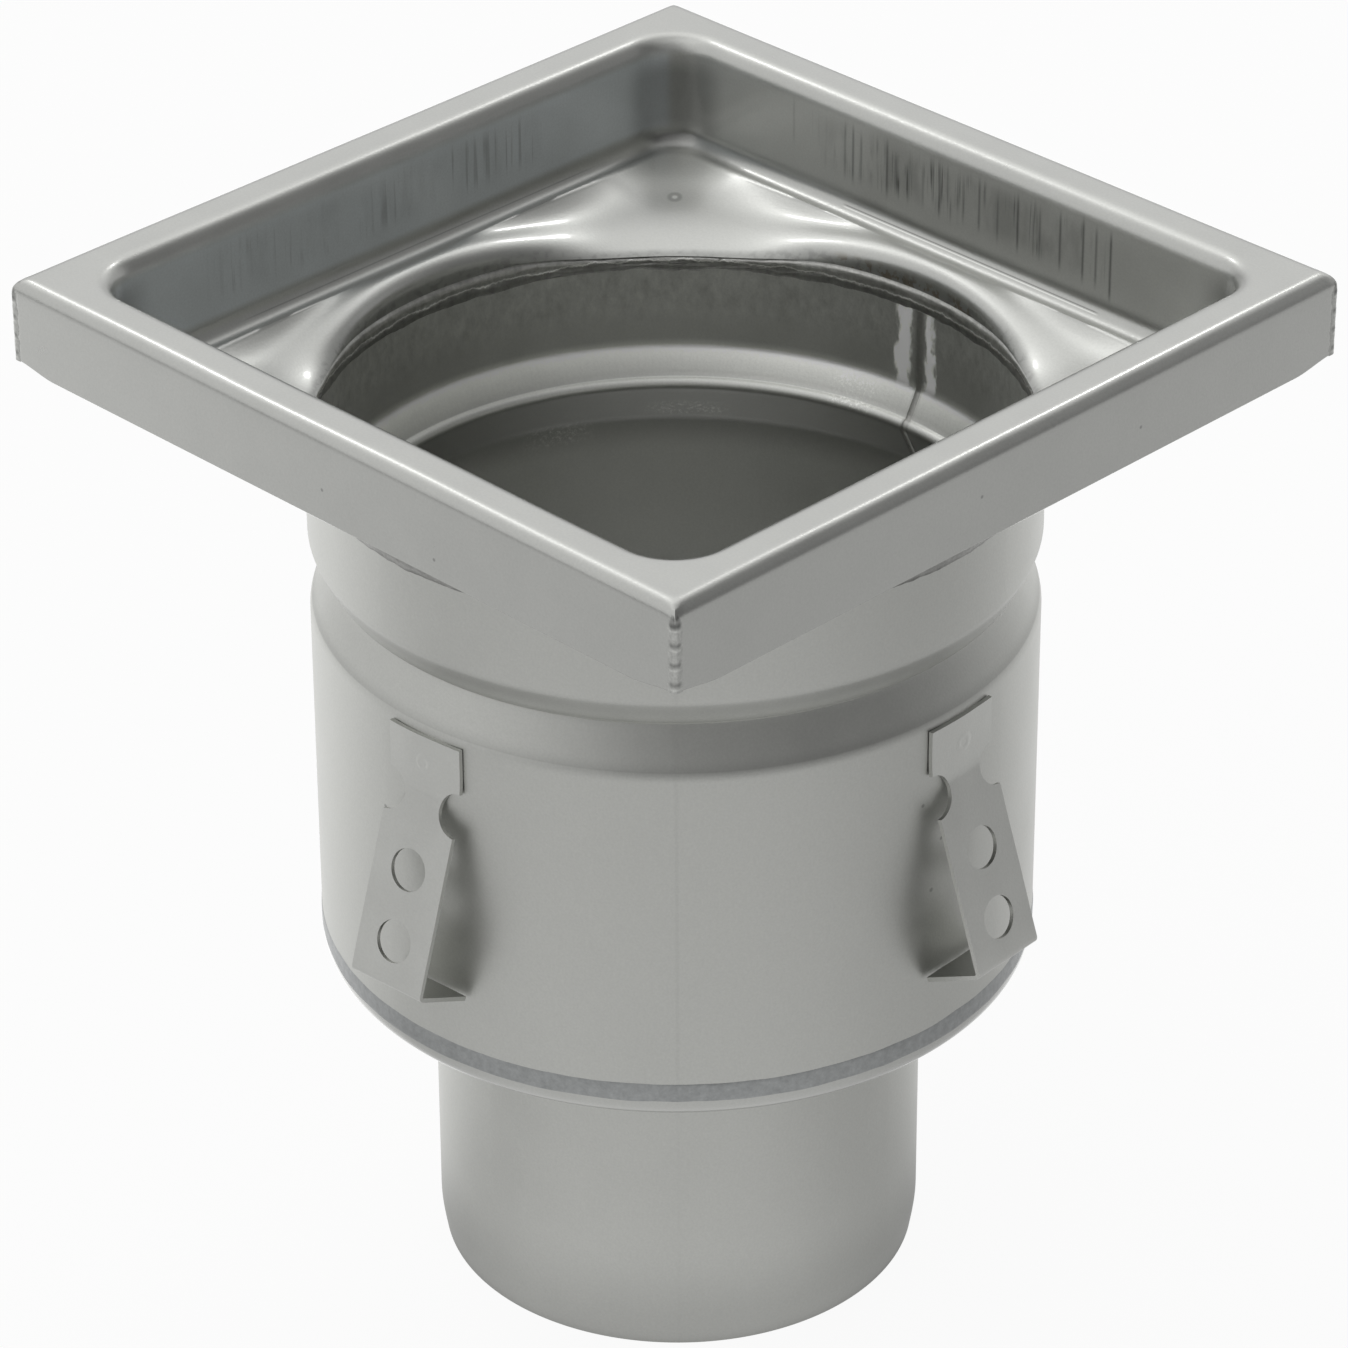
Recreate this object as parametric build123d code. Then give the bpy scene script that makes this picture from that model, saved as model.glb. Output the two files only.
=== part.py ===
from build123d import *
import math
import os

os.makedirs("parts", exist_ok=True)

# Overall sizes, in millimetres. Depths are measured down from the top of the frame.
frame_side = 200.0
rim_width = 12.5
throat_margin = 7.5
outlet_step = 25.0

# Sheet thicknesses
tray_sheet = 1.5
tube_sheet = 1.0
tab_sheet = 1.0

# Frame tray
skirt_height = 21.0
skirt_fold_radius = 3.5
recess_depth = 26.75
recess_corner_radius = 11.0
recess_edge_radius = 4.5
recess_foot_radius = 4.0
corner_notch = 3.2
corner_weld_proud = 0.15
corner_weld_edge_radius = 0.9

# Funnel from the square recess floor to the round neck
funnel_drop = 8.75
funnel_side_margin = 1.1
funnel_corner_reach = 16.0
side_curve_power = 5.0
corner_curve_power = 1.4
underside_step_at_side = 0.4
underside_step_at_corner = 0.3
funnel_steps = (0.0, 0.1, 0.22, 0.36, 0.52, 0.7, 0.86, 1.0)
points_round_funnel = 32

# Body tube, its rolled bead and its seam
throat_weld_height = 3.0
throat_weld_proud = 0.3
body_length = 116.5
bead_centre_below_top = 28.8
bead_inset = 5.5
bead_shoulder_radius = 9.0
bead_groove_radius = 2.0
seam_width = 1.6
body_seam_angle = 91.0

# Base cap, its weld and the outlet
base_gap = 1.5
base_weld_proud = 0.2
base_weld_band = 4.4
base_wall_height = 1.7
base_corner_radius = 5.0
outlet_weld_leg = 4.0
outlet_entry_inset = 1.0
outlet_entry_length = 6.0
spigot_length = 78.8
spigot_end_length = 7.5
spigot_end_inset = 1.0
outlet_seam_angle = -40.0

# Anchor tabs
tab_count = 4
tab_first_angle = 3.8
tab_width = 20.0
tab_top_below_bead = 10.3
tab_pad_height = 13.2
tab_leg_length = 45.0
tab_leg_tilt = 18.0
tab_lip_length = 15.7
tab_lip_drop = 25.0
tab_hole_diameter = 9.5
tab_hole_distances = (18.3, 34.7)
tab_notch_radius = 5.0
tab_notch_distance = 2.6
tab_bend_radius = 3.0
tab_fold_radius = 0.6
spot_weld_radius = 2.6
spot_weld_dimple = 0.25

# Derived sizes
recess_side = frame_side - 2 * rim_width
body_radius = recess_side / 2 - throat_margin
body_bore_radius = body_radius - tube_sheet
neck_radius = body_bore_radius
outlet_radius = body_radius - outlet_step
outlet_bore_radius = outlet_radius - tube_sheet
funnel_crease_at_side = recess_side / 2 - recess_foot_radius - funnel_side_margin
funnel_crease_at_corner = neck_radius + funnel_corner_reach
tray_underside_depth = recess_depth + tray_sheet
neck_depth = recess_depth + funnel_drop
body_top_depth = neck_depth + throat_weld_height
body_bottom_depth = body_top_depth + body_length
bead_centre_depth = body_top_depth + bead_centre_below_top
tab_top_depth = bead_centre_depth + tab_top_below_bead
base_top_depth = body_bottom_depth + base_gap
base_underside_depth = base_top_depth + base_wall_height + base_corner_radius
total_height = base_underside_depth + spigot_length
tall = 400.0


def level(depth):
    return total_height - depth


def turned(points_and_edges):
    # One closed section in the plane of radius and height, turned about the vertical axis
    section = Plane.XZ * make_face(points_and_edges)
    return revolve(section, axis=Axis.Z)


def closed(points):
    return [Polyline(*points, close=True)]


def rounded_block(side, corner_radius, top_depth, bottom_depth):
    outline = RectangleRounded(side, side, corner_radius)
    block = extrude(outline, amount=bottom_depth - top_depth)
    return Pos(0, 0, level(bottom_depth)) * block


def folded_block(side, top_depth, bottom_depth, fold_radius):
    # A square block with rounded top edges that meet in mitres at the corners
    half = side / 2
    low = level(bottom_depth)
    high = level(top_depth)
    mid = fold_radius * (1 - math.sqrt(0.5))
    section = make_face([
        Line((-half, low), (half, low)),
        Line((half, low), (half, high - fold_radius)),
        ThreePointArc((half, high - fold_radius), (half - mid, high - mid), (half - fold_radius, high)),
        Line((half - fold_radius, high), (-half + fold_radius, high)),
        ThreePointArc((-half + fold_radius, high), (-half + mid, high - mid), (-half, high - fold_radius)),
        Line((-half, high - fold_radius), (-half, low)),
    ])
    along = extrude(Plane.XZ * section, amount=half, both=True)
    across = Rot(0, 0, 90) * along
    return along & across


def funnel_section(at_side, at_corner, depth):
    # A superellipse that passes through one radius at the sides and another on the diagonals
    power = 1 / (0.5 - math.log2(at_corner / at_side))
    points = []
    for index in range(points_round_funnel):
        angle = 2 * math.pi * index / points_round_funnel
        reach = abs(math.cos(angle)) ** power + abs(math.sin(angle)) ** power
        radius = at_side / reach ** (1 / power)
        points.append((radius * math.cos(angle), radius * math.sin(angle)))
    outline = make_face(Spline(*points, periodic=True))
    return Pos(0, 0, level(depth)) * outline


def funnel_block(start_depth, crease_at_side, crease_at_corner, end_radius):
    sections = []
    for step in funnel_steps:
        at_side = end_radius + (crease_at_side - end_radius) * (1 - step) ** side_curve_power
        at_corner = end_radius + (crease_at_corner - end_radius) * (1 - step) ** corner_curve_power
        depth = start_depth + (neck_depth - start_depth) * step
        sections.append(funnel_section(at_side, at_corner, depth))
    return loft(sections)


def recess_cavity():
    prism = rounded_block(recess_side, recess_corner_radius, -5.0, recess_depth)
    foot = prism.faces().sort_by(Axis.Z)[0].edges()
    prism = fillet(foot, recess_foot_radius)
    funnel = funnel_block(recess_depth, funnel_crease_at_side, funnel_crease_at_corner, neck_radius)
    return prism + funnel


def recess_shell():
    side = recess_side + 2 * tray_sheet
    radius = recess_corner_radius + tray_sheet
    block = rounded_block(side, radius, skirt_fold_radius, tray_underside_depth)
    foot = block.faces().sort_by(Axis.Z)[0].edges()
    block = fillet(foot, recess_foot_radius + tray_sheet)
    crease_at_side = funnel_crease_at_side + underside_step_at_side
    crease_at_corner = funnel_crease_at_corner + underside_step_at_corner
    funnel = funnel_block(tray_underside_depth, crease_at_side, crease_at_corner, neck_radius + tray_sheet)
    return block + funnel


def rim_channel():
    # The open space under the folded rim, between the skirt and the recess walls
    side = frame_side - 2 * tray_sheet
    block = folded_block(side, tray_sheet, skirt_height + 10.0, skirt_fold_radius - tray_sheet)
    core_side = recess_side + 2 * tray_sheet
    core = rounded_block(core_side, recess_corner_radius + tray_sheet, 0.0, skirt_height + 20.0)
    block = block - core
    rim = block.faces().sort_by(Axis.Z)[-1].inner_wires()[0].edges()
    return fillet(rim, recess_edge_radius - tray_sheet)


def corner_posts(size):
    centre = frame_side / 2 - size / 2 + 1.0
    posts = []
    for turn in range(4):
        post = Pos(centre, centre, total_height) * Box(size + 2.0, size + 2.0, tall)
        posts.append(Rot(0, 0, 90 * turn) * post)
    return posts


def make_frame_tray():
    rim = folded_block(frame_side, 0.0, skirt_height, skirt_fold_radius)
    shell = rim + recess_shell() - recess_cavity()
    edge = shell.faces().sort_by(Axis.Z)[-1].inner_wires()[0].edges()
    shell = fillet(edge, recess_edge_radius)
    shell = shell - rim_channel()
    for post in corner_posts(corner_notch):
        shell = shell - post
    return shell


def make_corner_welds():
    # Each bead fills the notch at a corner of the skirt, a little proud of the sheet
    side = frame_side + 2 * corner_weld_proud
    outer = folded_block(side, 0.0, skirt_height, skirt_fold_radius)
    inner = folded_block(frame_side - 2 * tray_sheet, tray_sheet, skirt_height + 10.0,
                         skirt_fold_radius - tray_sheet)
    welds = []
    for post in corner_posts(corner_notch):
        bead = (outer & post) - inner
        reach = bead.edges().filter_by(Axis.Z).sort_by(lambda e: e.center().X ** 2 + e.center().Y ** 2)
        welds.append(fillet(reach[-1], corner_weld_edge_radius))
    return welds


def make_throat_weld():
    top = level(neck_depth)
    bottom = level(body_top_depth)
    middle = (top + bottom) / 2
    return turned(closed([
        (neck_radius, bottom),
        (neck_radius - throat_weld_proud, middle - 0.6),
        (neck_radius - throat_weld_proud, middle + 0.6),
        (neck_radius, top),
        (neck_radius + tray_sheet, top),
        (neck_radius + tray_sheet + throat_weld_proud, middle + 0.4),
        (body_radius + throat_weld_proud, middle - 0.6),
        (body_radius, bottom),
    ]))


def bead_side(radius_a, radius_b, upper):
    # Shoulder arc and groove arc of one half of the bead, at the given distances from their centres
    sign = 1 if upper else -1
    zc = level(bead_centre_depth)
    reach = bead_shoulder_radius + bead_groove_radius
    dr = bead_inset - bead_shoulder_radius - bead_groove_radius + reach
    shoulder_r = body_radius - bead_shoulder_radius
    groove_r = body_radius - bead_inset + bead_groove_radius
    dz = math.sqrt(reach ** 2 - (groove_r - shoulder_r) ** 2)
    turn = math.acos((groove_r - shoulder_r) / reach)
    start = (shoulder_r + radius_a, zc + sign * dz)
    middle = (shoulder_r + radius_a * math.cos(turn / 2), zc + sign * (dz - radius_a * math.sin(turn / 2)))
    meet = (shoulder_r + radius_a * math.cos(turn), zc + sign * (dz - radius_a * math.sin(turn)))
    low = (groove_r - radius_b * math.cos(turn / 2), zc + sign * radius_b * math.sin(turn / 2))
    crest = (groove_r - radius_b, zc)
    return start, middle, meet, low, crest


def make_body_ring():
    outer_up = bead_side(bead_shoulder_radius, bead_groove_radius, True)
    outer_down = bead_side(bead_shoulder_radius, bead_groove_radius, False)
    inner_up = bead_side(bead_shoulder_radius - tube_sheet, bead_groove_radius + tube_sheet, True)
    inner_down = bead_side(bead_shoulder_radius - tube_sheet, bead_groove_radius + tube_sheet, False)
    top = level(body_top_depth)
    bottom = level(body_bottom_depth)
    edges = []
    for up, down, radius in ((outer_up, outer_down, body_radius), (inner_up, inner_down, body_bore_radius)):
        edges.append(Line((radius, top), up[0]))
        edges.append(ThreePointArc(up[0], up[1], up[2]))
        edges.append(ThreePointArc(up[2], up[3], up[4]))
        edges.append(ThreePointArc(down[4], down[3], down[2]))
        edges.append(ThreePointArc(down[2], down[1], down[0]))
        edges.append(Line(down[0], (radius, bottom)))
    edges.append(Line((body_bore_radius, top), (body_radius, top)))
    edges.append(Line((body_bore_radius, bottom), (body_radius, bottom)))
    return turned(edges)


def seam_slot(angle, radius):
    slot = Pos(radius, 0, total_height / 2) * Box(30.0, seam_width, tall)
    return Rot(0, 0, angle) * slot


def make_base_cap():
    top = level(base_top_depth)
    under = level(base_underside_depth)
    outer_r = base_corner_radius
    inner_r = base_corner_radius - tube_sheet
    floor = under + tube_sheet
    entry = outlet_radius - outlet_entry_inset
    mid_outer = outer_r * (1 - math.sqrt(0.5))
    mid_inner = inner_r * (1 - math.sqrt(0.5))
    return turned([
        Line((body_radius, top), (body_radius, under + outer_r)),
        ThreePointArc((body_radius, under + outer_r), (body_radius - mid_outer, under + mid_outer),
                      (body_radius - outer_r, under)),
        Line((body_radius - outer_r, under), (entry, under)),
        Line((entry, under), (entry, floor)),
        Line((entry, floor), (body_bore_radius - inner_r, floor)),
        ThreePointArc((body_bore_radius - inner_r, floor), (body_bore_radius - mid_inner, floor + mid_inner),
                      (body_bore_radius, floor + inner_r)),
        Line((body_bore_radius, floor + inner_r), (body_bore_radius, top)),
        Line((body_bore_radius, top), (body_radius, top)),
    ])


def make_base_weld():
    # A root in the gap between tube and cap, and a ground band that laps over both
    top = level(body_bottom_depth)
    bottom = level(base_top_depth)
    middle = (top + bottom) / 2
    half = base_weld_band / 2
    face = body_radius + base_weld_proud
    return turned(closed([
        (body_bore_radius, bottom),
        (body_bore_radius, top),
        (body_radius, top),
        (body_radius, middle + half),
        (face, middle + half - 0.6),
        (face, middle - half + 0.6),
        (body_radius, middle - half),
        (body_radius, bottom),
    ]))


def make_outlet_ring():
    # The upper end is sized down a little where it enters the base and takes the weld
    top = level(base_underside_depth - tube_sheet)
    step = top - outlet_entry_length
    neck = spigot_end_length
    end_outer = outlet_radius - spigot_end_inset
    end_inner = outlet_bore_radius - spigot_end_inset
    return turned(closed([
        (outlet_bore_radius - outlet_entry_inset, top),
        (outlet_radius - outlet_entry_inset, top),
        (outlet_radius - outlet_entry_inset, step),
        (outlet_radius, step - outlet_entry_inset),
        (outlet_radius, neck),
        (end_outer, 0.0),
        (end_inner, 0.0),
        (outlet_bore_radius, neck),
        (outlet_bore_radius, step - outlet_entry_inset),
        (outlet_bore_radius - outlet_entry_inset, step),
    ]))


def make_outlet_weld():
    under = level(base_underside_depth)
    leg = outlet_weld_leg
    entry = outlet_radius - outlet_entry_inset
    return turned(closed([
        (entry, under),
        (entry + leg, under),
        (entry + 0.45 * leg, under - 0.45 * leg),
        (entry, under - leg),
    ]))


def tab_outline():
    # The outer face of the folded strip, then the same line moved in by the sheet thickness
    tilt = math.radians(tab_leg_tilt)
    drop = math.radians(tab_lip_drop)
    directions = ((0.0, -1.0), (math.sin(tilt), -math.cos(tilt)), (-math.cos(drop), -math.sin(drop)))
    lengths = (tab_pad_height, tab_leg_length, tab_lip_length)
    outer = [(body_radius + tab_sheet, level(tab_top_depth))]
    for direction, length in zip(directions, lengths):
        x, z = outer[-1]
        outer.append((x + direction[0] * length, z + direction[1] * length))
    inner = []
    for index, (x, z) in enumerate(outer):
        before = directions[max(index - 1, 0)]
        after = directions[min(index, 2)]
        n1 = (before[1], -before[0])
        n2 = (after[1], -after[0])
        scale = tab_sheet / (1 + n1[0] * n2[0] + n1[1] * n2[1])
        inner.append((x + (n1[0] + n2[0]) * scale, z + (n1[1] + n2[1]) * scale))
    return outer, inner


def make_tab():
    outer, inner = tab_outline()
    section = make_face(Polyline(*outer, *reversed(inner), close=True))
    for point, radius in (
        (outer[1], tab_bend_radius),
        (inner[1], tab_bend_radius + tab_sheet),
        (outer[2], tab_fold_radius + tab_sheet),
        (inner[2], tab_fold_radius),
    ):
        corner = section.vertices().sort_by_distance(Vector(point[0], point[1], 0))[0]
        section = fillet(corner, radius)
    tab = extrude(Plane.XZ * section, amount=tab_width / 2, both=True)
    tilt = math.radians(tab_leg_tilt)
    bend = outer[1]
    normal = (math.cos(tilt), 0, math.sin(tilt))
    for distance in tab_hole_distances:
        place = (bend[0] + distance * math.sin(tilt), 0, bend[1] - distance * math.cos(tilt))
        tab = tab - Plane(origin=place, z_dir=normal) * Cylinder(tab_hole_diameter / 2, 8.0)
    for side in (-1, 1):
        place = (bend[0] + tab_notch_distance * math.sin(tilt), side * tab_width / 2,
                 bend[1] - tab_notch_distance * math.cos(tilt))
        tab = tab - Plane(origin=place, z_dir=normal) * Cylinder(tab_notch_radius, 12.0)
    return tab - spot_pin(body_radius - 2.0, body_radius + 4.0)


def spot_pin(start, end):
    height = level(tab_top_depth + tab_pad_height / 2)
    pin = Cylinder(spot_weld_radius, end - start)
    return Pos((start + end) / 2, 0, height) * Rot(0, 90, 0) * pin


def make_spot_weld():
    nugget = spot_pin(body_radius - 1.0, body_radius + tab_sheet - spot_weld_dimple)
    tube = Pos(0, 0, total_height / 2) * Cylinder(body_radius, tall)
    return nugget - tube


def save(shape, name):
    shape.label = name
    export_step(shape, os.path.join("parts", name + ".step"))


def main():
    save(make_frame_tray(), "frame_tray")
    for number, weld in enumerate(make_corner_welds(), start=1):
        save(weld, "frame_corner_weld_" + str(number))
    save(make_throat_weld(), "throat_weld")
    body_ring = make_body_ring()
    body_slot = seam_slot(body_seam_angle, body_radius)
    save(body_ring - body_slot, "body_tube")
    save(body_ring & body_slot, "body_seam_weld")
    save(make_base_weld(), "base_weld")
    save(make_base_cap(), "base_cap")
    save(make_outlet_weld(), "outlet_weld")
    outlet_ring = make_outlet_ring()
    outlet_slot = seam_slot(outlet_seam_angle, outlet_radius)
    save(outlet_ring - outlet_slot, "outlet_pipe")
    save(outlet_ring & outlet_slot, "outlet_seam_weld")
    tab = make_tab()
    spot = make_spot_weld()
    for number in range(1, tab_count + 1):
        angle = tab_first_angle + 360.0 / tab_count * (number - 1)
        save(Rot(0, 0, angle) * tab, "anchor_tab_" + str(number))
        save(Rot(0, 0, angle) * spot, "tab_spot_weld_" + str(number))


main()
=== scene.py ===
import bpy
import math
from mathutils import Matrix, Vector, noise


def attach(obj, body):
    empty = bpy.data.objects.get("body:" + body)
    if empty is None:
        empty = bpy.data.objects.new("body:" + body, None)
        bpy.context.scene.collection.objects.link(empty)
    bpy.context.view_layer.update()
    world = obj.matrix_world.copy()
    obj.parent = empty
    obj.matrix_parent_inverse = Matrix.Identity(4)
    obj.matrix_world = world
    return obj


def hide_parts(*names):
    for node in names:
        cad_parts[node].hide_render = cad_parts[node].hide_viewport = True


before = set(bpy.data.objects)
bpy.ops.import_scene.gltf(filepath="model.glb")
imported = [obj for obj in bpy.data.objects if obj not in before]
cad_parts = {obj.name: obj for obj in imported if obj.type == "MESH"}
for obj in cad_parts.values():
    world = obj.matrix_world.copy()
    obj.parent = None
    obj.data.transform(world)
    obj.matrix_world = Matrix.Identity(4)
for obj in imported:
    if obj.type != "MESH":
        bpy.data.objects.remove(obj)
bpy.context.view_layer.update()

# Sizes in millimetres. Depths count down from the top of the frame.
MM = 0.001
PER_METRE = 1000.0
TOP = 242.0  # height of the frame's top above the outlet's cut end
FRAME_HALF = 100.0
RECESS_HALF = 87.5
SHEET = 1.5  # the pressed tray
THIN = 1.0  # the rolled and folded sheets
SKIRT = 21.0
SKIRT_CORNER = 0.8
CUT_EDGE = 0.3
FOLD = 3.5  # radius from the rim down to the skirt
EDGE = 4.5  # radius from the rim down to the recess wall
FOOT = 4.0  # radius from the recess wall to the floor
CORNER = 11.0  # radius of the recess in plan
FLOOR = 26.75
FLOOR_PART = 0.8  # how much of the way to the crease is still floor
CORNER_FALL = 4.9  # how far the corner floor falls toward the funnel
CREASE_SIDE = 82.4  # where the floor turns into the funnel
CREASE_CORNER = 94.0
UNDER_CREASE_SIDE = 82.8
UNDER_CREASE_CORNER = CREASE_CORNER + 0.3
NECK_END = 35.5  # edge of the neck in the corners
NECK_RISE = 2.2  # how much higher it is at the middle of each side
NECK_R = 79.0
BODY_R = 80.0
BODY_TOP = 38.5
BODY_END = 155.0
BEAD_START = 57.6
BEAD_END = 77.95
BASE_TOP = 156.5
BASE_TURN = 158.2  # where the base cap's round corner starts
BASE_CORNER = 5.0
BASE_UNDER = 163.2
OUTLET_R = 55.0
OUTLET_ENTRY = BASE_UNDER + 6.0
TAPER = 233.5  # where the outlet's end starts to draw in
TAB_OUT = BODY_R + THIN
TAB_TOP = 77.6
TAB_BEND = 90.8
TAB_HALF = 10.0
TAB_LEG = 45.0
TAB_LIP = 15.7
SPOT_R = 2.6
SPOT_AT = 84.2
POOL = 4.4  # from one pool to the next in the corner welds

# Places round the tube, in degrees and radians
FIRST_TAB = 3.8
SEAM_AT = math.radians(91.0)
OUTLET_SEAM_AT = math.radians(-40.0)

# Steps round the large turned pieces and the small ones
BODY_STEPS = 288
OUTLET_STEPS = 240
SPOT_STEPS = 40


def at(x, y, depth):
    return (x * MM, y * MM, (TOP - depth) * MM)


def polar(r, angle, depth):
    return at(r * math.cos(angle), r * math.sin(angle), depth)


def aside(r, w, depth, turn):
    # The point at radius r in the direction turn, moved sideways by w
    return at(r * math.cos(turn) - w * math.sin(turn), r * math.sin(turn) + w * math.cos(turn), depth)


def smooth(a, b, x):
    t = min(max((x - a) / (b - a), 0.0), 1.0)
    return t * t * (3 - 2 * t)


# Mesh helpers

def finish_piece(name, verts, faces, replaced, material, sharp=40.0):
    mesh = bpy.data.meshes.new(name)
    mesh.from_pydata(verts, [], faces)
    mesh.validate()
    mesh.shade_smooth()
    mesh.set_sharp_from_angle(angle=math.radians(sharp))
    piece = bpy.data.objects.new(name, mesh)
    bpy.context.scene.collection.objects.link(piece)
    piece.data.materials.append(material)
    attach(piece, "root")
    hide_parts(*replaced)
    return piece


def skin(rings, close_section, close_round=True):
    # Quads between neighbouring rings of equal length
    verts = [point for ring in rings for point in ring]
    count = len(rings[0])
    faces = []
    spans = len(rings) if close_section else len(rings) - 1
    steps = count if close_round else count - 1
    for j in range(spans):
        a = j * count
        b = ((j + 1) % len(rings)) * count
        for k in range(steps):
            n = (k + 1) % count
            faces.append((a + k, b + k, b + n, a + n))
    return verts, faces


def capped_skin(rings):
    # Quads along a row of rings, with a face over each end
    verts, faces = skin(rings, False)
    count = len(rings[0])
    faces.append(tuple(range(count)))
    faces.append(tuple(reversed(range(len(verts) - count, len(verts)))))
    return verts, faces


def turns(count):
    return [2 * math.pi * k / count for k in range(count)]


def lathe(profile, count):
    # profile holds radius and depth pairs round a closed section
    return skin([[polar(r, a, d) for a in turns(count)] for r, d in profile], True)


def arc(cx, cy, radius, start, end, steps):
    points = []
    for i in range(steps + 1):
        a = math.radians(start + (end - start) * i / steps)
        points.append((cx + radius * math.cos(a), cy + radius * math.sin(a)))
    return points


def line(a, b, steps):
    # The points between two ends, without the ends
    return [(a[0] + (b[0] - a[0]) * i / steps, a[1] + (b[1] - a[1]) * i / steps) for i in range(1, steps)]


def direction_at(points, i):
    # Unit direction of a line of points at one of them
    before, after = points[max(i - 1, 0)], points[min(i + 1, len(points) - 1)]
    tr, td = after[0] - before[0], after[1] - before[1]
    length = math.hypot(tr, td)
    return tr / length, td / length


def offset_line(points, inset):
    # The same line moved inward, square to itself
    moved = []
    for i, (r, d) in enumerate(points):
        tr, td = direction_at(points, i)
        moved.append((r - td * inset, d + tr * inset))
    return moved


def eased(points, count, strength):
    # The same line in even steps, with its corners worn round; strength runs from 0 to 1
    rounds, held = 60, 7
    lengths = [0.0]
    for a, b in zip(points, points[1:]):
        lengths.append(lengths[-1] + math.hypot(b[0] - a[0], b[1] - a[1]))
    even, j = [], 0
    for i in range(count):
        want = lengths[-1] * i / (count - 1)
        while j < len(points) - 2 and lengths[j + 1] < want:
            j += 1
        t = (want - lengths[j]) / max(lengths[j + 1] - lengths[j], 1e-9)
        a, b = points[j], points[j + 1]
        even.append((a[0] + (b[0] - a[0]) * t, a[1] + (b[1] - a[1]) * t))
    for _ in range(rounds):
        moved = list(even)
        for i in range(1, count - 1):
            for_r = 0.5 * (even[i - 1][0] + even[i + 1][0]) - even[i][0]
            for_d = 0.5 * (even[i - 1][1] + even[i + 1][1]) - even[i][1]
            keep = strength * smooth(count - 1, count - held, i)
            moved[i] = (even[i][0] + keep * for_r, even[i][1] + keep * for_d)
        even = moved
    return even


# Plan outlines of the tray, as distances along a ray

def squircle_ray(half, corner, c, s):
    # A square with round corners
    c, s = max(abs(c), abs(s)), min(abs(c), abs(s))
    straight = half / c
    m = half - corner
    if straight * s <= m:
        return straight
    dot = (c + s) * m
    return dot + math.sqrt(max(dot * dot - 2 * m * m + corner * corner, 0.0))


def crease_ray(at_side, at_corner, c, s):
    # Between a circle and a square, with its reach given at mid-side and at the corners
    power = 1 / (0.5 - math.log2(at_corner / at_side))
    return at_side / (abs(c) ** power + abs(s) ** power) ** (1 / power)


def throat_shape(c, s):
    # The crease, how far from mid-side to corner the ray is, and where the sheet ends at the throat
    crease = crease_ray(CREASE_SIDE, CREASE_CORNER, c, s)
    mix = (crease - CREASE_SIDE) / (CREASE_CORNER - CREASE_SIDE)
    return crease, mix, NECK_END - NECK_RISE + NECK_RISE * smooth(0.25, 0.95, mix)


def tray_angles():
    # Rays all round, closer together toward the corners
    octant = [1.25 * i for i in range(28)] + [35.0 + 0.4 * i for i in range(25)]
    quadrant = octant + [45.0] + [90.0 - a for a in reversed(octant[1:])]
    return [math.radians(90.0 * quarter + a) for quarter in range(4) for a in quadrant]


def corner_nearness(angle, width):
    # 1 on the diagonals of the frame, falling to 0 at the given number of degrees away
    off = abs((math.degrees(angle) % 90.0) - 45.0)
    return 1.0 - smooth(0.0, width, off)


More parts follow.
